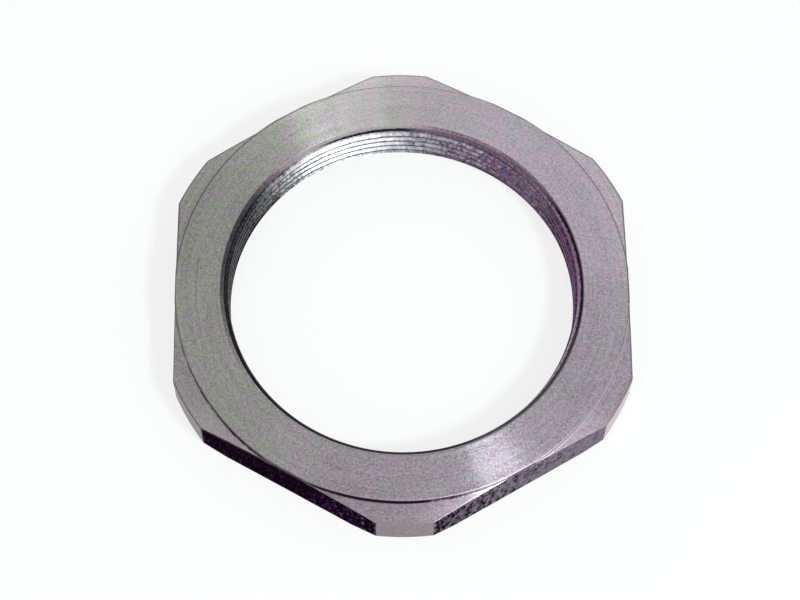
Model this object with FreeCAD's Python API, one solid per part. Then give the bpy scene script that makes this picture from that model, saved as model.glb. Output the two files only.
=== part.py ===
import FreeCAD, Part
import math
import os

# Hub nut: a thin hexagon nut that holds a wheel hub and its bearings on a threaded axle end.
# It is one piece of steel, turned on its faces, corners and bore.
# All sizes are in millimetres and degrees.
# Z runs along the bore. The plain face lies at Z = 0 and the raised seat faces up.
# Two of the hexagon's corners lie on the Y axis and two of its flats face along the X axis.

# Thread: metric, fine, right hand, single start
thread_diameter = 75.0
thread_pitch = 2.0
thread_flank_angle = 60.0

# Hexagon: its flats stand one wall outside the root of the thread
wall_at_flats = 10.0
nut_height = 12.0
flat_count = 6

# Turning of the corners, which leaves a round outside between the flats
corner_turned_off = 3.1

# Raised round seat and the sloping corners beside it
seat_past_flats = 0.12
seat_step = 1.2
seat_corner_slope = 18.0

# Chamfer of the corners at the plain face
plain_chamfer_width = 2.1
plain_chamfer_slope = 30.0

# Lead-in of the thread at each face
lead_in_past_root = 0.5
lead_in_slope = 52.5

# Bevel that breaks the turned edges, and the rounding that the tool leaves in the step's foot
edge_bevel = 0.2
foot_rounding = 0.35

# Play that the cutting bodies need beyond the metal they remove
cutter_margin = 0.4

# Radii of the outside, worked out from the sizes above
across_flats = thread_diameter + 2 * wall_at_flats
flat_distance = across_flats / 2
corner_radius = flat_distance / math.cos(math.pi / flat_count) - corner_turned_off
seat_radius = flat_distance + seat_past_flats
plain_face_radius = corner_radius - plain_chamfer_width

# Heights of the outside
seat_foot_height = nut_height - seat_step
seat_slope_drop = (corner_radius - seat_radius) * math.tan(math.radians(seat_corner_slope))
corner_top_height = seat_foot_height - seat_slope_drop
corner_bottom_height = plain_chamfer_width * math.tan(math.radians(plain_chamfer_slope))

# Thread form: the sharp triangle loses an eighth of its height at the root and a quarter at the crest
half_flank = math.radians(thread_flank_angle / 2)
sharp_height = thread_pitch / (2 * math.tan(half_flank))
root_flat = thread_pitch / 8
thread_depth = sharp_height * 5 / 8
root_radius = thread_diameter / 2
crest_radius = root_radius - thread_depth

# Lead-in cone
lead_in_radius = root_radius + lead_in_past_root
lead_in_depth = (lead_in_radius - crest_radius) * math.tan(math.radians(lead_in_slope))


def sharp(before, corner, after):
    """One corner of a flat outline, left as it is."""
    return [corner]


def broken(before, corner, after):
    """Ends of the small bevel that breaks one corner of a flat outline."""
    back = (before - corner).normalize()
    ahead = (after - corner).normalize()
    return [corner + back * edge_bevel, corner + ahead * edge_bevel]


def rounded(before, corner, after):
    """Start, middle and end of the arc that fills the foot's corner of a flat outline."""
    back = (before - corner).normalize()
    ahead = (after - corner).normalize()
    half_angle = back.getAngle(ahead) / 2
    to_tangent = foot_rounding / math.tan(half_angle)
    to_middle = foot_rounding / math.sin(half_angle) - foot_rounding
    inward = (back + ahead).normalize()
    return [corner + back * to_tangent, corner + inward * to_middle, corner + ahead * to_tangent]


def turned_ring(corners):
    """Solid ring turned about Z from (radius, height, form) corners of its section."""
    points = [FreeCAD.Vector(radius, 0, height) for radius, height, form in corners]
    cuts = []
    for place, corner in enumerate(corners):
        form = corner[2]
        cuts.append(form(points[place - 1], points[place], points[(place + 1) % len(points)]))
    edges = []
    for place, cut in enumerate(cuts):
        if len(cut) == 2:
            edges.append(Part.LineSegment(*cut).toShape())
        if len(cut) == 3:
            edges.append(Part.Arc(*cut).toShape())
        next_cut = cuts[(place + 1) % len(cuts)]
        edges.append(Part.LineSegment(cut[-1], next_cut[0]).toShape())
    section = Part.Face(Part.Wire(edges))
    return section.revolve(FreeCAD.Vector(0, 0, 0), FreeCAD.Vector(0, 0, 1), 360)


def hexagon_bar():
    """Hexagon bar, longer than the nut at both ends, with two corners on the Y axis."""
    sharp_corner = flat_distance / math.cos(math.pi / flat_count)
    outline = []
    for place in range(flat_count + 1):
        angle = math.radians(90) + 2 * math.pi * place / flat_count
        across = sharp_corner * math.cos(angle)
        along = sharp_corner * math.sin(angle)
        outline.append(FreeCAD.Vector(across, along, -cutter_margin))
    face = Part.Face(Part.makePolygon(outline))
    return face.extrude(FreeCAD.Vector(0, 0, nut_height + 2 * cutter_margin))


def groove_turn(start_height):
    """Cutter for one turn of the thread's groove, which starts at this height and climbs one pitch."""
    half_root = root_flat / 2
    depth = thread_depth + cutter_margin
    half_mouth = half_root + depth * math.tan(half_flank)
    inner_radius = root_radius - depth
    groove = Part.makePolygon([
        FreeCAD.Vector(inner_radius, 0, start_height - half_mouth),
        FreeCAD.Vector(root_radius, 0, start_height - half_root),
        FreeCAD.Vector(root_radius, 0, start_height + half_root),
        FreeCAD.Vector(inner_radius, 0, start_height + half_mouth),
        FreeCAD.Vector(inner_radius, 0, start_height - half_mouth),
    ])
    path = Part.makeHelix(thread_pitch, thread_pitch, crest_radius)
    path.translate(FreeCAD.Vector(0, 0, start_height))
    return Part.Wire(path.Edges).makePipeShell([groove], True, True)


# Turned ring: up the lead-ins and bore, out over the seat, down its step and the corners
ring = turned_ring([
    (lead_in_radius, 0, broken),
    (crest_radius, lead_in_depth, sharp),
    (crest_radius, nut_height - lead_in_depth, sharp),
    (lead_in_radius, nut_height, broken),
    (seat_radius, nut_height, broken),
    (seat_radius, seat_foot_height, rounded),
    (corner_radius, corner_top_height, broken),
    (corner_radius, corner_bottom_height, broken),
    (plain_face_radius, 0, broken),
])

# The hexagon bar's flats cut the turned outside, and each edge between them is an arch
nut = ring.common(hexagon_bar())

# The thread is cut turn by turn, from below the plain face to above the seat
turn_count = math.ceil(nut_height / thread_pitch) + 2
for turn in range(turn_count):
    nut = nut.cut(groove_turn((turn - 1) * thread_pitch))

hub_nut = nut.Solids[0]
os.makedirs("parts", exist_ok=True)
hub_nut.exportStep("parts/hub_nut.step")
print("solids", len(nut.Solids), "valid", hub_nut.isValid(), "volume", round(hub_nut.Volume, 2))
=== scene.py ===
import math

import bmesh
import bpy
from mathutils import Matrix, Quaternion, Vector, noise


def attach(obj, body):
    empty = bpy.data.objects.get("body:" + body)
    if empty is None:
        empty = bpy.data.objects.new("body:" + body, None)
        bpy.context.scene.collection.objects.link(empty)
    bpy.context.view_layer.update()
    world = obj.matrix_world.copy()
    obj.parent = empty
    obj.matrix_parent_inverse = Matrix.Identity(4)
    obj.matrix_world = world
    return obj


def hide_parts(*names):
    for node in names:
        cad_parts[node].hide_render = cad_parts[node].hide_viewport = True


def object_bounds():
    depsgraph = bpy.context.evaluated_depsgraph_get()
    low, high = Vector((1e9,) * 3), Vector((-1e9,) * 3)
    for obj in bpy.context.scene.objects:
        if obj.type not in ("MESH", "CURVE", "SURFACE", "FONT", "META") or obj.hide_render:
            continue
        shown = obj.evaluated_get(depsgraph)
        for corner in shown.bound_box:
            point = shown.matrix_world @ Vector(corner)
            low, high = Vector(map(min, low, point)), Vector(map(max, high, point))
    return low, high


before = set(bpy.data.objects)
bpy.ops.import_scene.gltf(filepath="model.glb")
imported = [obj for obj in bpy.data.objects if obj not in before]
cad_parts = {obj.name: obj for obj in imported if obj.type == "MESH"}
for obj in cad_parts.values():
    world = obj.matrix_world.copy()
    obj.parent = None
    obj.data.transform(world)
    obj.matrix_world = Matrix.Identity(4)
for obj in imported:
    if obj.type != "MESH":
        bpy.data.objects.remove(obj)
cad_low, cad_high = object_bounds()

# Sizes of the nut in millimetres, as in its solid. A slope is the tangent of its angle.
ACROSS_FLATS = 95.0
NUT_HEIGHT = 12.0
CORNER_TURNED_OFF = 3.1
SEAT_PAST_FLATS = 0.12
SEAT_STEP = 1.2
SEAT_CORNER_SLOPE = math.tan(math.radians(18.0))
PLAIN_CHAMFER_WIDTH = 2.1
PLAIN_CHAMFER_SLOPE = math.tan(math.radians(30.0))
THREAD_DIAMETER = 75.0
THREAD_PITCH = 2.0
FLANK_SLOPE = math.tan(math.radians(60.0))
LEAD_IN_PAST_ROOT = 0.5
LEAD_IN_ANGLE = math.radians(52.5)
LEAD_IN_SLOPE = math.tan(LEAD_IN_ANGLE)

# The hexagon's flats, the first of which faces along X, and the turn from one to the next
FLATS = 6
TO_NEXT_FLAT = 2 * math.pi / FLATS

# Sizes that follow from these. The thread's sharp triangle loses an eighth of its height at the
# root and a quarter at the crest.
FLAT_DISTANCE = ACROSS_FLATS / 2
CORNER_RADIUS = FLAT_DISTANCE / math.cos(TO_NEXT_FLAT / 2) - CORNER_TURNED_OFF
SEAT_RADIUS = FLAT_DISTANCE + SEAT_PAST_FLATS
SEAT_FOOT_HEIGHT = NUT_HEIGHT - SEAT_STEP
PLAIN_FACE_RADIUS = CORNER_RADIUS - PLAIN_CHAMFER_WIDTH
ROOT_RADIUS = THREAD_DIAMETER / 2
ROOT_FLAT = THREAD_PITCH / 8
THREAD_DEPTH = THREAD_PITCH / 2 * FLANK_SLOPE * 5 / 8
CREST_RADIUS = ROOT_RADIUS - THREAD_DEPTH
LEAD_IN_RADIUS = ROOT_RADIUS + LEAD_IN_PAST_ROOT
LEAD_IN_DEPTH = (LEAD_IN_RADIUS - CREST_RADIUS) * LEAD_IN_SLOPE

# Radii of the broken edges, in millimetres: the turning tool's, the file's and the thread's
TURNED_EDGE = 0.2
SEAT_EDGE = 0.16
FOOT_HOLLOW = 0.35
FILED_EDGE = 0.22
FLAT_TO_CORNER = 0.6
THREAD_CREST_EDGE = 0.07
THREAD_ROOT_HOLLOW = 0.1

# The soft edge between a flat and a turned corner: the middle of its arc, seen from the middle
# of the flat, and the angles from there at which it starts and ends
SOFT_X = FLAT_DISTANCE - FLAT_TO_CORNER
SOFT_Y = math.sqrt((CORNER_RADIUS - FLAT_TO_CORNER) ** 2 - SOFT_X**2)
SOFT_START = math.atan2(SOFT_Y, FLAT_DISTANCE)
SOFT_END = math.atan2(SOFT_Y, SOFT_X)

# Unevenness of the edges: the size of its slow and of its fast waves, and how much faster those are
SLOW_WAVES = 0.45
FAST_WAVES = 0.2
TIMES_FASTER = 3.1
# Each uneven edge's own place in the noise, and the number that sets how fast it varies
ARCH_NOISE = (3.0, 9.0)
LOW_NOISE = (7.0, 9.0)
SEAT_NOISE = (11.0, 5.0)

# Fineness of the mesh: columns round the nut and the least angle between two, steps in an edge,
# the distance from an edge at which a row of points holds its shape, and how many times that a
# run has to measure to have such rows
COLUMNS = 420
CLOSEST_COLUMNS = math.radians(0.02)
EDGE_STEPS = 3
SUPPORT = 0.12
SUPPORTS_IN_RUN = 4
# An edge takes no more than this share of a side. It stays sharp where a side is shorter than
# this, in millimetres, or where the section turns less than this, in radians.
LARGEST_SHARE = 0.42
SHORTEST_SIDE = 0.000001
LEAST_TURN = 0.01
# Places of the rows on a thread's flank, how many turns below the plain face the rows start, and
# how many turns they have beyond those that the height takes
FLANK_SHARES = (0.1, 0.37, 0.63, 0.9)
TURNS_BELOW = 2
SPARE_TURNS = 3
# Radii that are the same, in millimetres, and points that fall together, in metres
SAME_RADIUS = 0.001
SAME_POINT = 0.000002
# The angle from which an edge is shaded sharp
SHARP_ANGLE = math.radians(34)
# Half the side of the cube about the nut that its texture space spans, in metres
TEXTURE_REACH = 0.05
METRES = 0.001


def reach(angle):
    """Radius of the outside at this azimuth: a flat, a turned corner or the soft edge between."""
    swing = abs((angle + TO_NEXT_FLAT / 2) % TO_NEXT_FLAT - TO_NEXT_FLAT / 2)
    if swing <= SOFT_START:
        return FLAT_DISTANCE / math.cos(swing)
    if swing >= SOFT_END:
        return CORNER_RADIUS
    along = SOFT_X * math.cos(swing) + SOFT_Y * math.sin(swing)
    return along + math.sqrt(along**2 - SOFT_X**2 - SOFT_Y**2 + FLAT_TO_CORNER**2)


def column_angles():
    """Azimuths of the mesh's columns: even ones, and those where the outside changes its form."""
    swings = [
        math.acos(FLAT_DISTANCE / SEAT_RADIUS),
        math.acos(FLAT_DISTANCE / PLAIN_FACE_RADIUS),
        SOFT_START,
        (SOFT_START + SOFT_END) / 2,
        SOFT_END,
    ]
    angles = [2 * math.pi * column / COLUMNS for column in range(COLUMNS)]
    for flat in range(FLATS):
        for swing in swings:
            for side in (-1, 1):
                angles.append((TO_NEXT_FLAT * flat + side * swing) % (2 * math.pi))
    angles.sort()
    kept = []
    for angle in angles:
        if not kept or angle - kept[-1] > CLOSEST_COLUMNS:
            kept.append(angle)
    return kept


def eased_corner(before, corner, after, radius):
    """Points of an arc that rounds the corner of a section, smaller where its sides are short."""
    back, ahead = before - corner, after - corner
    if min(back.length, ahead.length) < SHORTEST_SIDE or radius <= 0:
        return [corner] * (EDGE_STEPS + 1)
    turn = math.pi - back.angle(ahead)
    if turn < LEAST_TURN:
        return [corner] * (EDGE_STEPS + 1)
    cut = radius * math.tan(turn / 2)
    cut = min(cut, LARGEST_SHARE * back.length, LARGEST_SHARE * ahead.length)
    radius = cut / math.tan(turn / 2)
    back, ahead = back.normalized(), ahead.normalized()
    start, end = corner + back * cut, corner + ahead * cut
    middle = corner + (back + ahead).normalized() * (radius / math.cos(turn / 2))
    points = []
    for step in range(EDGE_STEPS + 1):
        share = step / EDGE_STEPS
        first = math.sin((1 - share) * turn) / math.sin(turn)
        second = math.sin(share * turn) / math.sin(turn)
        points.append(middle + (start - middle) * first + (end - middle) * second)
    return points


def between(start, end, inner):
    """Points on a straight run of a section: one close to each end, and some between them."""
    length = (end - start).length
    short = length < SUPPORTS_IN_RUN * SUPPORT
    close = 1 / SUPPORTS_IN_RUN if short else SUPPORT / length
    shares = [close]
    shares += [close + (1 - 2 * close) * step / (inner + 1) for step in range(1, inner + 1)]
    shares += [1 - close]
    return [start.lerp(end, share) for share in shares]


def unevenness(angle, place, pace):
    """A share near 1 that changes slowly round the nut, for edges that aren't quite even."""
    spot = Vector((math.cos(angle) * pace, math.sin(angle) * pace, place))
    slow, fast = noise.noise(spot), noise.noise(spot * TIMES_FASTER)
    return 1 + SLOW_WAVES * slow + FAST_WAVES * fast


# Places of some corners in the outside's section: the seat's edge, the wall's low edge, the
# plain face's edge and its rim
SEAT, LOW, PLAIN, LOW_RIM = 2, 5, 6, 7
# Zones of the section in its order: the seat's rim, the run after it, the next corner and so on
ZONES = [
    "rim", "face", "seat_edge", "seat_wall", "foot", "slope", "arch_edge", "wall",
    "low_edge", "chamfer", "plain_edge", "plain_face", "low_rim",
]
# Points between the ends of each run
RUN_POINTS = [3, 1, 1, 3, 1, 3]
# Zones that a flat takes up where it cuts through the seat
CUT_BY_FLAT = ("seat_wall", "foot", "slope", "arch_edge")


def outside_section(angle):
    """Section of the outside at this azimuth, over the seat and down to the plain face's rim.

    Gives its (radius, height) points, and the zone of each stretch between two points.
    """
    edge = reach(angle)
    seat = min(SEAT_RADIUS, edge)
    plain = min(PLAIN_FACE_RADIUS, edge)
    arch_height = SEAT_FOOT_HEIGHT - (edge - seat) * SEAT_CORNER_SLOPE
    low_height = (edge - plain) * PLAIN_CHAMFER_SLOPE
    arch_edge = FILED_EDGE * unevenness(angle, *ARCH_NOISE)
    low_edge = FILED_EDGE * unevenness(angle, *LOW_NOISE)
    seat_edge = SEAT_EDGE * unevenness(angle, *SEAT_NOISE)
    if edge >= CORNER_RADIUS:
        arch_edge = low_edge = TURNED_EDGE
    corners = [
        (CREST_RADIUS, NUT_HEIGHT - LEAD_IN_DEPTH, 0),
        (LEAD_IN_RADIUS, NUT_HEIGHT, TURNED_EDGE),
        (seat, NUT_HEIGHT, seat_edge),
        (seat, SEAT_FOOT_HEIGHT, FOOT_HOLLOW),
        (edge, arch_height, arch_edge),
        (edge, low_height, low_edge),
        (plain, 0, TURNED_EDGE),
        (LEAD_IN_RADIUS, 0, TURNED_EDGE),
        (CREST_RADIUS, LEAD_IN_DEPTH, 0),
    ]
    spots = [Vector((radius, height)) for radius, height, rounding in corners]
    arcs = []
    for place in range(1, len(corners) - 1):
        after = place + 1
        # With no chamfer on this azimuth, the wall meets the plain face in one edge
        if place == LOW and edge <= PLAIN_FACE_RADIUS:
            after = LOW_RIM
        if place == PLAIN and edge <= PLAIN_FACE_RADIUS:
            arcs.append([arcs[-1][-1]] * (EDGE_STEPS + 1))
            continue
        # Where the flat cuts the seat, the foot and the arch fall together
        if place == SEAT and edge <= SEAT_RADIUS:
            after = LOW
        rounding = corners[place][2]
        arcs.append(eased_corner(spots[place - 1], spots[place], spots[after], rounding))
    points, zones = [], []
    for place, arc in enumerate(arcs):
        points += arc
        zones += [ZONES[2 * place]] * EDGE_STEPS
        if place + 1 < len(arcs):
            run = between(arc[-1], arcs[place + 1][0], RUN_POINTS[place])
            points += run
            zones += [ZONES[2 * place + 1]] * (len(run) + 1)
    return points, zones


def thread_profile():
    """One pitch of the thread from the middle of a groove: (height, radius) points."""
    half_root = ROOT_FLAT / 2
    half_mouth = half_root + THREAD_DEPTH / FLANK_SLOPE
    corners = [
        Vector((half_mouth - THREAD_PITCH, CREST_RADIUS)),
        Vector((-half_mouth, CREST_RADIUS)),
        Vector((-half_root, ROOT_RADIUS)),
        Vector((half_root, ROOT_RADIUS)),
        Vector((half_mouth, CREST_RADIUS)),
        Vector((THREAD_PITCH - half_mouth, CREST_RADIUS)),
    ]
    edges = [THREAD_CREST_EDGE, THREAD_ROOT_HOLLOW, THREAD_ROOT_HOLLOW, THREAD_CREST_EDGE]
    arcs = []
    for place, edge in enumerate(edges):
        arcs.append(eased_corner(corners[place], corners[place + 1], corners[place + 2], edge))
    low_flank = [arcs[0][-1].lerp(arcs[1][0], share) for share in FLANK_SHARES]
    high_flank = [arcs[2][-1].lerp(arcs[3][0], share) for share in FLANK_SHARES]
    return arcs[0] + low_flank + arcs[1] + arcs[2] + high_flank + arcs[3]


def lead_in_at(height):
    """Radius of the nearer lead-in cone at this height."""
    return LEAD_IN_RADIUS - min(height, NUT_HEIGHT - height) / LEAD_IN_SLOPE


def bore_section(angle, profile, rows):
    """Section of the bore at this azimuth, from its lowest helical row to its highest.

    Gives (radius, height) points.
    """
    low_end = TURNED_EDGE * math.tan(LEAD_IN_ANGLE / 2) * math.sin(LEAD_IN_ANGLE)
    high_end = NUT_HEIGHT - low_end
    start = (angle / (2 * math.pi) - TURNS_BELOW) * THREAD_PITCH
    points, gaps = [], []
    for row in range(rows):
        turn, place = divmod(row, len(profile))
        height = start + turn * THREAD_PITCH + profile[place][0]
        cut = profile[place][1]
        height_kept = min(max(height, low_end), high_end)
        cone = lead_in_at(height_kept)
        points.append((max(cut, cone), height_kept))
        gaps.append((cut - cone, height))
    # The row nearest to each crossing of thread and lead-in moves onto it
    for row in range(rows - 1):
        (gap, height), (gap_after, height_after) = gaps[row], gaps[row + 1]
        if gap * gap_after >= 0:
            continue
        share = gap / (gap - gap_after)
        crossing = height + (height_after - height) * share
        if low_end < crossing < high_end:
            moved = row if share < 0.5 else row + 1
            points[moved] = (max(lead_in_at(crossing), CREST_RADIUS), crossing)
    return points


def in_metres(angle, section):
    """Points of the mesh from the (radius, height) points of a section at this azimuth."""
    across, along = math.cos(angle), math.sin(angle)
    points = []
    for radius, height in section:
        points.append((radius * across * METRES, radius * along * METRES, height * METRES))
    return points


def zone_at(edge, zone):
    """The zone itself, or the flat where that takes its place at this radius of the outside."""
    turned = edge >= CORNER_RADIUS - SAME_RADIUS
    if not turned and (zone == "wall" or (edge <= SEAT_RADIUS and zone in CUT_BY_FLAT)):
        return "flat"
    return zone


def outside_surface(angles):
    """Points of the outside and both faces, and the (corners, zone) of each of its mesh faces."""
    points, columns, zones_of, faces = [], [], [], []
    for angle in angles:
        section, zones = outside_section(angle)
        columns.append(range(len(points), len(points) + len(section)))
        points += in_metres(angle, section)
        zones_of.append(zones)
    for column, here in enumerate(columns):
        there = columns[(column + 1) % len(columns)]
        next_angle = angles[column + 1] if column + 1 < len(angles) else 2 * math.pi
        edge = reach((angles[column] + next_angle) / 2)
        for row, zone in enumerate(zones_of[column]):
            corners = (here[row], here[row + 1], there[row + 1], there[row])
            faces.append((corners, zone_at(edge, zone)))
    return points, faces


def bore_surface(angles, first):
    """Points of the thread and lead-ins, and the (corners, zone) of each of its mesh faces.

    Its points are counted from the first. The last column joins the first one pitch higher.
    """
    profile = thread_profile()
    rows = len(profile) * (math.ceil(NUT_HEIGHT / THREAD_PITCH) + SPARE_TURNS)
    points, faces = [], []
    for angle in angles:
        points += in_metres(angle, bore_section(angle, profile, rows))
    for column in range(len(angles)):
        wraps = column + 1 == len(angles)
        here = first + column * rows
        there = first if wraps else here + rows
        shift = len(profile) if wraps else 0
        for row in range(rows - 1):
            low, high = min(row + shift, rows - 1), min(row + 1 + shift, rows - 1)
            faces.append(((here + row, there + low, there + high, here + row + 1), "thread"))
    return points, faces


def nut_mesh(name, zone_material):
    """The nut as one closed mesh, with a material for each zone."""
    angles = column_angles()
    points, faces = outside_surface(angles)
    bore_points, bore_faces = bore_surface(angles, len(points))
    points, faces = points + bore_points, faces + bore_faces
    mesh = bpy.data.meshes.new(name)
    mesh.from_pydata(points, [], [corners for corners, zone in faces])
    for material in sorted(set(zone_material.values()), key=lambda one: one.name):
        mesh.materials.append(material)
    order = {material.name: place for place, material in enumerate(mesh.materials)}
    indexes = [order[zone_material[zone].name] for corners, zone in faces]
    mesh.polygons.foreach_set("material_index", indexes)
    return mesh


def tidy_mesh(mesh):
    """Joins the points that fall together, drops what has no area and marks the sharp edges."""
    form = bmesh.new()
    form.from_mesh(mesh)
    bmesh.ops.remove_doubles(form, verts=form.verts, dist=SAME_POINT)
    bmesh.ops.dissolve_degenerate(form, edges=form.edges, dist=SAME_POINT / 2)
    bmesh.ops.recalc_face_normals(form, faces=form.faces)
    loose = [edge for edge in form.edges if not edge.link_faces]
    bmesh.ops.delete(form, geom=loose, context="EDGES")
    form.to_mesh(mesh)
    form.free()
    mesh.shade_smooth()
    mesh.set_sharp_from_angle(angle=SHARP_ANGLE)
    # The turning marks run round the axis, so the texture space is a cube about it
    mesh.use_auto_texspace = False
    mesh.texspace_location = (0, 0, NUT_HEIGHT / 2 * METRES)
    mesh.texspace_size = (TEXTURE_REACH, TEXTURE_REACH, TEXTURE_REACH)


class Wire:
    """A socket of a tree of shader nodes. Sums of wires and numbers add Math nodes."""

    def __init__(self, tree, socket=None):
        self.tree = tree
        self.socket = socket

    def node(self, kind, settings, sockets, output=0):
        """Adds a node with its settings, then a value or a link for each of its sockets."""
        made = self.tree.nodes.new("ShaderNode" + kind)
        for name, value in settings.items():
            setattr(made, name, value)
        for name, value in sockets.items():
            if isinstance(value, Wire):
                self.tree.links.new(value.socket, made.inputs[name])
            else:
                made.inputs[name].default_value = value
        return Wire(self.tree, made.outputs[output] if made.outputs else None)

    def maths(self, operation, first, second=0.0):
        return self.node("Math", {"operation": operation}, {0: first, 1: second})

    def __add__(self, other):
        return self.maths("ADD", self, other)

    __radd__ = __add__

    def __sub__(self, other):
        return self.maths("SUBTRACT", self, other)

    def __rsub__(self, other):
        return self.maths("SUBTRACT", other, self)

    def __mul__(self, other):
        return self.maths("MULTIPLY", self, other)

    __rmul__ = __mul__

    def __truediv__(self, other):
        return self.maths("DIVIDE", self, other)

    def __rtruediv__(self, other):
        return self.maths("DIVIDE", other, self)

    def __pow__(self, other):
        return self.maths("POWER", self, other)

    def __abs__(self):
        return self.maths("ABSOLUTE", self)

    def least(self, other):
        return self.maths("MINIMUM", self, other)

    def most(self, other):
        return self.maths("MAXIMUM", self, other)

    def sway(self, amount):
        """How far a noise is from its middle, times an amount."""
        return (self - 0.5) * amount

    def eased(self, low, high):
        """0 at low, 1 at high, and soft between them."""
        sockets = {"Value": self, "From Min": low, "From Max": high}
        return self.node("MapRange", {"interpolation_type": "SMOOTHSTEP"}, sockets)

    def vector(self, x, y, z):
        return self.node("CombineXYZ", {}, {0: x, 1: y, 2: z})

    def grain(self, place, scale, detail, roughness, distortion=0.0):
        """Noise from 0 to 1 at this place."""
        sockets = {"Vector": place, "Scale": scale, "Detail": detail, "Roughness": roughness}
        sockets["Distortion"] = distortion
        return self.node("TexNoise", {}, sockets)

    def mixed(self, share, first, second):
        """A colour between two."""
        return self.node("Mix", {"data_type": "RGBA"}, {0: share, 6: first, 7: second}, 2)

    def tinted(self, colour, amount):
        """A colour made lighter or darker by a wire."""
        settings = {"data_type": "RGBA", "blend_type": "MULTIPLY"}
        grey = self.node("CombineColor", {}, {0: amount, 1: amount, 2: amount})
        return self.node("Mix", settings, {0: 1.0, 6: colour, 7: grey}, 2)

    def bumped(self, height, strength, depth):
        """Normals of a surface with this relief, its depth in millimetres."""
        sockets = {"Strength": strength, "Distance": depth * METRES, "Height": height}
        return self.node("Bump", {}, sockets)

    def shown(self):
        """1 for what the camera sees, also mirrored or through glass, and 0 for soft light."""
        straight = self.node("LightPath", {}, {}, "Is Camera Ray")
        mirrored = self.node("LightPath", {}, {}, "Is Glossy Ray")
        through = self.node("LightPath", {}, {}, "Is Transmission Ray")
        return straight.most(mirrored).most(through)


class Spot:
    """Where a point of the nut lies, as wires: in millimetres, and its direction from the axis.

    East is +X and has the azimuth 0, and north is +Y. The photo's camera stands in the south.
    """

    def __init__(self, wire):
        place = wire.node("TexCoord", {}, {}, "Object")
        scale = {0: place, "Scale": 1 / METRES}
        self.place = wire.node("VectorMath", {"operation": "SCALE"}, scale)
        self.x = wire.node("SeparateXYZ", {}, {0: self.place}, 0)
        self.y = wire.node("SeparateXYZ", {}, {0: self.place}, 1)
        self.z = wire.node("SeparateXYZ", {}, {0: self.place}, 2)
        self.radius = (self.x * self.x + self.y * self.y) ** 0.5
        self.east, self.north = self.x / self.radius, self.y / self.radius

    def towards(self, azimuth):
        """1 at this azimuth, 0 a quarter turn from it and -1 opposite."""
        way = math.radians(azimuth)
        return self.east * math.cos(way) + self.north * math.sin(way)

    def side(self, azimuth, outer, inner):
        """1 up to the inner angle from this azimuth, and 0 beyond the outer angle."""
        low, high = math.cos(math.radians(outer)), math.cos(math.radians(inner))
        return self.towards(azimuth).eased(low, high)


def new_material(name):
    """A material with its nodes emptied, and a wire to add nodes with."""
    material = bpy.data.materials.new(name)
    material.use_nodes = True
    material.node_tree.nodes.clear()
    return material, Wire(material.node_tree)


def metal(material, wire, colour, roughness, normal, metallic, grooved, turn, specular):
    """Ends a material in its shader.

    A turn of a quarter spreads the gloss across grooves that run round the axis.
    """
    sockets = {
        "Base Color": colour,
        "Roughness": roughness,
        "Normal": normal,
        "Metallic": metallic,
        "Anisotropic": grooved,
        "Anisotropic Rotation": turn,
        "Specular IOR Level": specular,
    }
    shader = wire.node("BsdfPrincipled", {}, sockets)
    wire.node("OutputMaterial", {}, {"Surface": shader})
    return material


# Turned steel, clean and under a film of old oil, whose colours are darker as painted shade
STEEL_ROSY = (0.49, 0.40, 0.47, 1)
STEEL_COOL = (0.43, 0.42, 0.455, 1)
STEEL_BRIGHT = (0.52, 0.47, 0.51, 1)
STEEL_FILM_SHADED = (0.33, 0.357, 0.29, 1)
STEEL_SMOKE_SHADED = (0.35, 0.32, 0.34, 1)
# Painted shade: along the outline and the seat's rim, in the step beside the seat, in the thread
# and in a ring on the lead-ins
OUTLINE_SHADE = (0.035, 0.04, 0.036, 1)
STEP_SHADE = (0.034, 0.008, 0.032, 1)
THREAD_SHADE = (0.016, 0.009, 0.02, 1)
RING_SHADE = (0.013, 0.008, 0.015, 1)
# Broken edges: painted shade and a painted highlight
SEAT_EDGE_SHADE, SEAT_EDGE_LIT = (0.13, 0.12, 0.128, 1), (0.40, 0.36, 0.40, 1)
EDGE_SHADE, EDGE_LIT = (0.05, 0.045, 0.05, 1), (0.30, 0.27, 0.30, 1)
# Lead-ins on the nut's right, left, front and back: painted shade at the left, a painted
# highlight at the back
LEAD_IN_ROSY = (0.42, 0.29, 0.38, 1)
LEAD_IN_GREEN = (0.085, 0.09, 0.09, 1)
LEAD_IN_FRONT = (0.32, 0.285, 0.32, 1)
LEAD_IN_LIT = (0.62, 0.56, 0.58, 1)
# Thread: two hues of its painted shade, two at its right and two at its left, then the steel lit
# at the back and the crests' painted shade
SHADED_HUES = (0.083, 0.083, 0.15, 1), (0.16, 0.084, 0.122, 1)
VIOLET_HUES = (0.07, 0.042, 0.15, 1), (0.165, 0.04, 0.122, 1)
SMOKY_HUES = (0.02, 0.06, 0.06, 1), (0.075, 0.045, 0.06, 1)
THREAD_LIT = (0.34, 0.33, 0.345, 1)
CREST_SHADE, CREST_SHADE_LEFT = (0.05, 0.025, 0.055, 1), (0.02, 0.028, 0.031, 1)
# Flats: two hues of the scale, its blue specks, those of the front, and two hues of bared steel,
# which also paint light on the right
SCALE_HUES = (0.002, 0.002, 0.007, 1), (0.011, 0.002, 0.008, 1)
BLUED, BLUED_FRONT = (0.05, 0.02, 0.07, 1), (0.13, 0.04, 0.2, 1)
BARED_AND_LIT_HUES = (0.18, 0.16, 0.23, 1), (0.26, 0.195, 0.235, 1)

# Painted light and shade in patches round the nut, where its highlights and shade fall: azimuth,
# angles from it at which a patch begins and is full, and how much lighter it is
PAINTED_LIGHT_PATCHES = [
    (75.0, 26.0, 8.0, 0.04),
    (102.8, 23.1, 0.0, 0.17),
    (101.5, 9.2, 3.6, 0.2),
    (158.0, 22.0, 8.0, -0.085),
    (222.0, 32.0, 12.0, 0.09),
    (342.0, 26.0, 8.0, -0.075),
]


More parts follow.
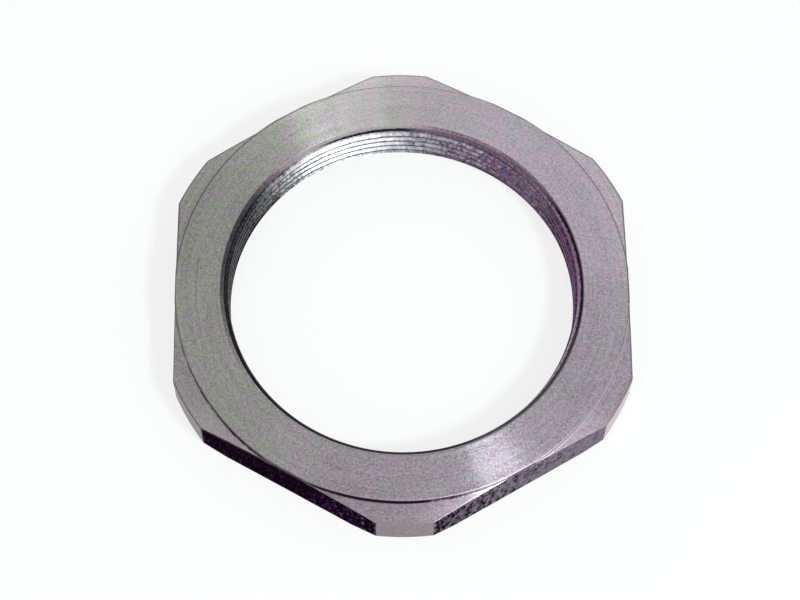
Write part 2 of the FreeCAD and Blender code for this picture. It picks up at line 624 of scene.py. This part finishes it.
def painted_highlight_patch(spot):
    """How much lighter the steel is painted round a place at the near right: a painted highlight.

    It has a sharp left edge at an azimuth of 289 degrees, and fades in steps to its right.
    """
    along = spot.towards(19)
    brightened = along.eased(-0.015, 0.015)
    patch = brightened * (1 - along.eased(0.05, 0.09)) * 0.09 + along.eased(0.12, 0.16) * 0.05
    patch = patch - along.eased(0.2, 0.23) * 0.05
    patch = patch - (1 - brightened) * along.eased(-0.17, -0.1) * 0.05
    return patch * spot.side(289, 25.8, 18.2)


def turned_steel(name, light=1.0, front_sheen=0.0, rosy=0.0, scale=0.85, painted_highlight=0.0):
    """Steel as the turning tool leaves it: rings of fine grooves under specks and a film of oil.

    Light scales its tone, as painted light or shade for lighter and darker copies of this steel.
    The next amount paints a highlight on the front's two sides, and rosy warms the front. Scale
    paints shade on the outermost edge, a dark outline, and the last amount paints a highlight on
    the corner at the right front. Painted shade darkens the seat's rim, mostly at its back left.
    """
    material, wire = new_material(name)
    spot = Spot(wire)
    east, north, radius = spot.east, spot.north, spot.radius
    feed = radius + spot.z
    fine = wire.grain(wire.vector(feed * 5.5, east * 1.5, north * 1.5), 1.0, 2.0, 0.6)
    broad = wire.grain(wire.vector(feed * 0.9, east * 2.5, north * 2.5), 1.0, 3.0, 0.6)
    chatter = wire.grain(wire.vector(feed * 1.2, east * 60.0, north * 60.0), 1.0, 2.0, 0.5)
    speck = wire.grain(spot.place, 2.6, 2.0, 0.5)
    tarnish = wire.grain(spot.place, 1.1, 2.0, 0.5)
    hue = wire.grain(spot.place, 0.35, 2.0, 0.6)
    film = wire.grain(spot.place, 0.05, 4.0, 0.6, 0.8)
    height = fine * 0.75 + broad * 0.25 + chatter * 0.12 + speck * 0.1

    tone = fine.sway(0.55) + broad.sway(0.25) + speck.sway(1.2) + tarnish.sway(0.4)
    # Painted light: the tone is lighter towards the back and a little towards the right
    tone = tone + film.sway(0.15) + 0.89 + north * 0.12 + east * 0.03
    # Painted light and shade: lighter and darker patches round the nut
    for azimuth, outer, inner, lighter in PAINTED_LIGHT_PATCHES:
        tone = tone + spot.side(azimuth, outer, inner) * lighter
    # Painted highlights on the front's two sides and on the corner at the right front, and the
    # painted highlight at the near right
    wear_and_sheen = spot.side(300, 29.5, 14.1) + spot.side(225.6, 18.2, 0) * 0.6
    corner_glint = (spot.towards(330) + tarnish.sway(0.1)).eased(0.9, 0.98)
    tone = (tone + painted_highlight_patch(spot) + wear_and_sheen * front_sheen + corner_glint * painted_highlight) * light

    # The film of oil, greener and darker, is heavier towards the left: its own hue and painted
    # shade
    film_and_shade = (film * 0.9 - east * 0.55 + north * 0.12 + tarnish.sway(0.6)).eased(0.2, 1.0)
    warm = (hue - north.least(0.0) * rosy).eased(0.35, 0.65)
    colour = wire.mixed(warm, STEEL_COOL, STEEL_ROSY)
    colour = wire.mixed(film_and_shade, colour, wire.mixed(warm, STEEL_FILM_SHADED, STEEL_SMOKE_SHADED))
    colour = wire.tinted(colour, tone)

    # Painted shade: a dark outline along the outermost edge, at the right and at the back
    across = abs(spot.x)
    for azimuth in (60, 120):
        across = across.most(abs(spot.towards(azimuth) * radius))
    to_edge = (across - FLAT_DISTANCE).most(radius - CORNER_RADIUS) + speck.sway(0.5)
    outline_mask = to_edge.eased(-0.45, -0.05) * spot.side(71.6, 108.4, 90)
    colour = wire.mixed(outline_mask * scale, colour, OUTLINE_SHADE)
    # Painted shade along the rim of the seat, mostly at its back left and a little at the right
    on_rim = (radius - SEAT_RADIUS + speck.sway(0.3)).eased(-0.42, -0.16)
    on_rim = on_rim * spot.z.eased(NUT_HEIGHT - 1.0, NUT_HEIGHT - 0.5)
    rim_shade = spot.side(148.1, 53.2, 18.5) * 0.85 + spot.side(19.9, 41.4, 18.1) * 0.4
    colour = wire.mixed(on_rim * rim_shade, colour, OUTLINE_SHADE)

    roughness = 0.285 + broad.sway(0.07) + film.sway(0.05) + speck.sway(0.05)
    normal = wire.bumped(height, 0.3, 0.05)
    return metal(material, wire, colour, roughness, normal,
                 metallic=1.0, grooved=0.95, turn=0.25, specular=0.5)


def seat_groove():
    """The step beside the seat, in painted shade on all but its right side, which is left light."""
    material, wire = new_material("seat_groove")
    spot = Spot(wire)
    speck = wire.grain(spot.place, 1.6, 3.0, 0.7)
    patch = wire.grain(spot.place, 0.3, 3.0, 0.6)
    up = (spot.z + speck.sway(0.35)).eased(NUT_HEIGHT - 0.3, NUT_HEIGHT - 0.08)
    out = spot.radius - SEAT_RADIUS - spot.east.least(0.0) * 0.4
    out = (out + speck.sway(0.5) + patch.sway(0.4)).eased(0.25, 0.7)
    # Its right side is left light, as lit steel
    groove_lit = spot.east * 0.9 - spot.north * 0.25 + patch.sway(0.5) + speck.sway(0.3)
    groove_lit = groove_lit.eased(0.35, 0.6)
    colour = wire.mixed(up.most(out).most(groove_lit), STEP_SHADE, STEEL_BRIGHT)
    normal = wire.bumped(speck, 0.4, 0.06)
    return metal(material, wire, colour, 0.42 + speck.sway(0.2), normal,
                 metallic=1.0, grooved=0.5, turn=0.25, specular=0.5)


def edge_steel(name, shaded, painted_highlight):
    """A broken edge: a painted highlight towards the front right, and painted shade elsewhere."""
    material, wire = new_material(name)
    spot = Spot(wire)
    speck = wire.grain(spot.place, 2.0, 3.0, 0.7)
    patch = wire.grain(spot.place, 0.25, 3.0, 0.6)
    wear_and_sheen = spot.east * 0.42 - spot.north * 0.9 + patch.sway(0.5) + speck.sway(0.3)
    colour = wire.mixed(wear_and_sheen.eased(0.45, 0.85), shaded, painted_highlight)
    colour = wire.tinted(colour, speck.sway(0.6) + 1.0)
    normal = wire.bumped(speck, 0.35, 0.05)
    return metal(material, wire, colour, 0.40 + speck.sway(0.16), normal,
                 metallic=1.0, grooved=0.3, turn=0.25, specular=0.5)


def lead_in_look(wire, spot):
    """Colour and metal of a lead-in, with a ring of painted shade, nearest to its rim on the right.
    """
    east, north, radius = spot.east, spot.north, spot.radius
    fine = wire.grain(wire.vector(radius * 7.0, east * 2.0, north * 2.0), 1.0, 2.0, 0.6)
    speck = wire.grain(spot.place, 1.8, 3.0, 0.7)
    # The middle of the ring is this far inside the rim, and the ring is broadest in front
    back, front, left = north.most(0.0), north.least(0.0), east.least(0.0)
    middle = back * back * 0.43 + front * front * 0.6 + left * left * 0.9 + 0.34
    middle = middle.least(north * 0.1 + 1.1)
    broad = front * -0.25 + 0.5 - east.most(0.0) * 0.04
    off_middle = abs(LEAD_IN_RADIUS - radius - middle + speck.sway(0.5))
    # The ring's painted shade is lifted at the back left and thinner at the back right and front
    # right
    brightened = spot.side(132, 18.2, 8.1)
    thinned = spot.side(58, 32, 18) * 0.4 + spot.side(318, 31.8, 18.2) * 0.15
    shaded_ring = (1 - off_middle.eased(broad - 0.36, broad)) * (1 - brightened) * (1 - thinned)
    # Painted shade at the left and a painted highlight at the back
    lit_back = spot.side(106.3, 30.7, 16.3)
    steel = wire.mixed(spot.side(180, 53.1, 25.8), LEAD_IN_ROSY, LEAD_IN_GREEN)
    steel = wire.mixed(spot.side(270, 101.5, 45.6), steel, LEAD_IN_FRONT)
    steel = wire.mixed(lit_back, steel, LEAD_IN_LIT)
    colour = wire.mixed(shaded_ring, steel, RING_SHADE)
    mottled = (speck - 0.5) * (3.0 - lit_back * 2.2)
    colour = wire.tinted(colour, (fine.sway(0.5) + mottled + 1.0).most(0.15))
    return colour, 1.0 - shaded_ring * 0.8


def lead_in_rim():
    """A lead-in's rim, rounded by use, in painted shade, deepest at the back, over the highlight.
    """
    material, wire = new_material("lead_in_rim")
    spot = Spot(wire)
    colour, metallic = lead_in_look(wire, spot)
    # Painted shade, deepest at the back, where it dims the lamp's highlight
    colour = wire.tinted(colour, 0.75 - spot.side(115, 18.2, 9.9) * 0.37)
    speck = wire.grain(spot.place, 1.8, 3.0, 0.7)
    normal = wire.bumped(speck, 0.3, 0.05)
    return metal(material, wire, colour, 0.42 + speck.sway(0.1), normal, metallic,
                 grooved=0.7, turn=0.25, specular=0.0)


def cut_thread():
    """The thread's steel: a painted highlight at the back, painted shade elsewhere, darkest on its
    crests, in its roots and at its low end.

    Where the lead-in's cone has cut the thread away, it looks like the lead-in.
    """
    material, wire = new_material("cut_thread")
    spot = Spot(wire)
    east, north, radius = spot.east, spot.north, spot.radius
    lines = wire.grain(wire.vector(radius * 9.0, east * 3.0, north * 3.0), 1.0, 2.0, 0.6)
    run_down = wire.vector(spot.x, spot.y, spot.z * 0.3)
    speck = wire.grain(run_down, 1.4, 3.0, 0.7)
    patch = wire.grain(spot.place, 0.22, 3.0, 0.65)
    hue = wire.grain(run_down, 0.7, 3.0, 0.7).eased(0.42, 0.58)

    left = spot.side(180, 107.5, 60)
    shaded_thread = wire.mixed(spot.side(0, 32.9, 16.3), wire.mixed(hue, *SHADED_HUES),
                      wire.mixed(hue, *VIOLET_HUES))
    shaded_thread = wire.mixed(left, shaded_thread, wire.mixed(hue, *SMOKY_HUES))
    lit_back = north * 0.83 - east * 0.2 + patch.sway(0.35) + speck.sway(0.3)
    lit_back = lit_back.eased(0.55, 0.95)
    colour = wire.mixed(lit_back, shaded_thread, THREAD_LIT)
    # Painted shade in the roots, on the crests and at the thread's low end
    deep = (radius + speck.sway(0.3)).eased(CREST_RADIUS + 0.45, ROOT_RADIUS - 0.15)
    colour = wire.mixed(deep * (1 - lit_back * 0.4), colour, THREAD_SHADE)
    crest = 1 - (radius + speck.sway(0.1)).eased(CREST_RADIUS + 0.01, CREST_RADIUS + 0.12)
    crest_dark = wire.mixed(left, CREST_SHADE, CREST_SHADE_LEFT)
    colour = wire.mixed(crest * (1 - lit_back * 0.6), colour, crest_dark)
    low_end = 1 - (spot.z + speck.sway(0.3)).eased(LEAD_IN_DEPTH + 0.1, LEAD_IN_DEPTH + 0.7)
    colour = wire.mixed(low_end * (1 - lit_back * 0.8), colour, THREAD_SHADE)

    mottled = (speck - 0.5) * (4.5 - lit_back * 3.0)
    # Painted light and shade by side: lighter at the back right, darker at the left
    shine = spot.side(52, 23.1, 11.5) * 0.8 + 1.0 - spot.side(180, 63.3, 25.8) * 0.22
    shine = shine - spot.side(140, 21.6, 9.9) * 0.28
    colour = wire.tinted(colour, ((lines.sway(0.5) + mottled + 1.0) * shine).most(0.12))

    cone = LEAD_IN_RADIUS - spot.z.least(NUT_HEIGHT - spot.z) / LEAD_IN_SLOPE
    coned = 1 - abs(radius - cone).eased(0.015, 0.05)
    cone_colour, cone_metal = lead_in_look(wire, spot)
    colour = wire.mixed(coned, colour, cone_colour)
    metallic = 1 - coned * (1 - cone_metal)
    normal = wire.bumped(lines * 0.5 + speck * 0.4, 0.35, 0.06)
    return metal(material, wire, colour, 0.38 + speck.sway(0.12), normal, metallic,
                 grooved=0.45, turn=0.0, specular=0.0)


def rolled_flat():
    """Dark rolling scale on the flats, rubbed through near their edges, with painted light at the
    right.
    """
    material, wire = new_material("rolled_flat")
    spot = Spot(wire)
    # Distance to the nearest edge of the flat: its arch, its ends or its foot
    arch = SEAT_FOOT_HEIGHT - (spot.radius - SEAT_RADIUS).most(0.0) * SEAT_CORNER_SLOPE
    along = (spot.radius * spot.radius - FLAT_DISTANCE**2).most(0.0) ** 0.5
    to_end = math.sqrt(CORNER_RADIUS**2 - FLAT_DISTANCE**2) - along
    near = (arch - spot.z).most(0.0).least(to_end).least(spot.z)

    flattened = wire.vector(spot.x, spot.y, spot.z * 0.5)
    lengthwise = wire.vector(spot.x * 3.0, spot.y * 3.0, spot.z * 0.25)
    blotch = wire.grain(spot.place, 0.32, 4.0, 0.65, 0.5)
    speck = wire.grain(flattened, 1.6, 3.0, 0.65)
    drawn = wire.grain(lengthwise, 1.0, 3.0, 0.6)
    tint = wire.grain(flattened, 0.9, 3.0, 0.7)
    pitted = wire.grain(spot.place, 5.0, 2.0, 0.6)

    wear_and_sheen = (blotch.sway(1.4) + drawn.sway(0.9) + 0.45 - near).eased(0.0, 0.5)
    # Painted light: the flats at the right are lighter and barer
    lit_right_flat = spot.east * 1.1 - spot.north * 0.3
    lit_right_flat = (lit_right_flat + blotch.sway(0.8) + speck.sway(1.6) + tint.sway(2.2)).eased(0.25, 1.0)
    scale = wire.mixed(tint.eased(0.4, 0.6), *SCALE_HUES)
    blued = wire.mixed(spot.side(270, 28.4, 18.2), BLUED, BLUED_FRONT)
    bared = wire.mixed(tint.eased(0.42, 0.62), *BARED_AND_LIT_HUES)
    colour = wire.mixed(speck.eased(0.52, 0.72), scale, blued)
    colour = wire.mixed((wear_and_sheen * 0.2 + lit_right_flat * 0.85).least(1.0), colour, bared)
    height = speck * 0.6 + blotch * 0.3 + drawn * 0.4 + pitted * 0.25
    normal = wire.bumped(height, 0.5, 0.12)
    roughness = 0.6 + speck.sway(0.3) - wear_and_sheen * 0.1
    metallic = wear_and_sheen * 0.25 + lit_right_flat * 0.5
    return metal(material, wire, colour, roughness, normal, metallic,
                 grooved=0.0, turn=0.0, specular=0.0)


turned = turned_steel("turned_steel")
# Lighter and darker copies of the turned steel, as painted light and shade: the slope lighter, with
# a painted highlight at the front; the wall and the chamfer darker, the wall with a painted
# highlight at the right front
turned_slope = turned_steel("turned_slope", light=1.06, front_sheen=0.32, rosy=0.12)
turned_wall = turned_steel("turned_wall", light=0.74, rosy=0.25, scale=0.0, painted_highlight=0.9)
turned_chamfer = turned_steel("turned_chamfer", light=0.5, scale=0.0)
seat_edge = edge_steel("seat_edge_steel", SEAT_EDGE_SHADE, SEAT_EDGE_LIT)
groove = seat_groove()
lead_in = lead_in_rim()
thread = cut_thread()
flat = rolled_flat()
edge = edge_steel("rubbed_edge", EDGE_SHADE, EDGE_LIT)
zone_material = {
    "rim": lead_in,
    "face": turned,
    "seat_edge": seat_edge,
    "seat_wall": groove,
    "foot": groove,
    "slope": turned_slope,
    "arch_edge": edge,
    "wall": turned_wall,
    "flat": flat,
    "low_edge": edge,
    "chamfer": turned_chamfer,
    "plain_edge": edge,
    "plain_face": turned,
    "low_rim": lead_in,
    "thread": thread,
}
mesh = nut_mesh("nut", zone_material)
tidy_mesh(mesh)
nut = bpy.data.objects.new("nut", mesh)
bpy.context.scene.collection.objects.link(nut)
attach(nut, "root")
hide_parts("hub_nut")

# Floor: half its side and its gap under the nut, in metres, and the share of glow in its look
HALF_FLOOR = 2.0
FLOOR_GAP = 0.00002
FLOOR_GLOW = 0.8
FLOOR_COLOUR = (0.9, 0.9, 0.9, 1)
WHITE = (1, 1, 1, 1)


def pale_floor():
    """A floor that shows white to the camera and in reflections, and keeps a soft shadow."""
    material, wire = new_material("pale_floor")
    lit = wire.node("BsdfDiffuse", {}, {"Color": FLOOR_COLOUR})
    glow = wire.node("Emission", {}, {"Color": WHITE, "Strength": 1.0})
    look = wire.node("MixShader", {}, {0: wire.shown() * FLOOR_GLOW, 1: lit, 2: glow})
    wire.node("OutputMaterial", {}, {"Surface": look})
    return material


floor_mesh = bpy.data.meshes.new("floor")
floor_corners = [(-HALF_FLOOR, -HALF_FLOOR, 0), (HALF_FLOOR, -HALF_FLOOR, 0)]
floor_corners += [(HALF_FLOOR, HALF_FLOOR, 0), (-HALF_FLOOR, HALF_FLOOR, 0)]
floor_mesh.from_pydata(floor_corners, [], [(0, 1, 2, 3)])
floor_mesh.materials.append(pale_floor())
floor = bpy.data.objects.new("floor", floor_mesh)
floor.location.z = cad_low.z - FLOOR_GAP
bpy.context.scene.collection.objects.link(floor)

# White room all round. It looks brightest behind the nut and dimmest to its left, and sends
# less soft light than it looks.
ROOM_LIGHT = 0.6
world = bpy.data.worlds.new("room")
bpy.context.scene.world = world
world.use_nodes = True
world.node_tree.nodes.clear()
room = Wire(world.node_tree)
way = room.node("TexCoord", {}, {}, "Generated")
way_x = room.node("SeparateXYZ", {}, {0: way}, 0)
way_y = room.node("SeparateXYZ", {}, {0: way}, 1)
looks = 0.86 + way_y * 0.17 + way_x * 0.08 - way_x * way_x * 0.2
strength = ROOM_LIGHT + (looks - ROOM_LIGHT) * room.shown()
light = room.node("Background", {}, {"Color": WHITE, "Strength": strength})
room.node("OutputWorld", {}, {"Surface": light})

# One square soft lamp, which puts the two bright patches on the face: the way to it, its
# distance and width in metres, its power in watts and its colour
LAMP_WAY = Vector((0.43, -0.46, 0.78)).normalized()
LAMP_DISTANCE = 1.2
LAMP_WIDTH = 0.16
LAMP_POWER = 9.0
LAMP_COLOUR = (0.92, 1.0, 1.0)
lamp_data = bpy.data.lights.new("key", "AREA")
lamp_data.color = LAMP_COLOUR
lamp_data.shape = "SQUARE"
lamp_data.size = LAMP_WIDTH
lamp_data.energy = LAMP_POWER
lamp = bpy.data.objects.new("key", lamp_data)
lamp.location = LAMP_WAY * LAMP_DISTANCE
lamp.rotation_mode = "QUATERNION"
lamp.rotation_quaternion = LAMP_WAY.to_track_quat("Z", "Y")
bpy.context.scene.collection.objects.link(lamp)

# Camera at the photo's place, in metres, with its lens in millimetres
CAMERA_PLACE = Vector((-0.006636, -0.199441, 0.449172))
CAMERA_AIM = Vector((-0.000430, -0.000785, 0.006))
CAMERA_ROLL = math.radians(1.256)
camera_data = bpy.data.cameras.new("camera")
camera_data.sensor_width = 36.0
camera_data.lens = 103.376
camera_data.clip_start = 0.01
camera_data.clip_end = 10.0
camera = bpy.data.objects.new("camera", camera_data)
camera.location = CAMERA_PLACE
camera.rotation_mode = "QUATERNION"
aimed = (CAMERA_AIM - CAMERA_PLACE).to_track_quat("-Z", "Y")
camera.rotation_quaternion = aimed @ Quaternion((0, 0, 1), CAMERA_ROLL)
bpy.context.scene.collection.objects.link(camera)
bpy.context.scene.camera = camera
bpy.context.scene.view_settings.view_transform = "Standard"
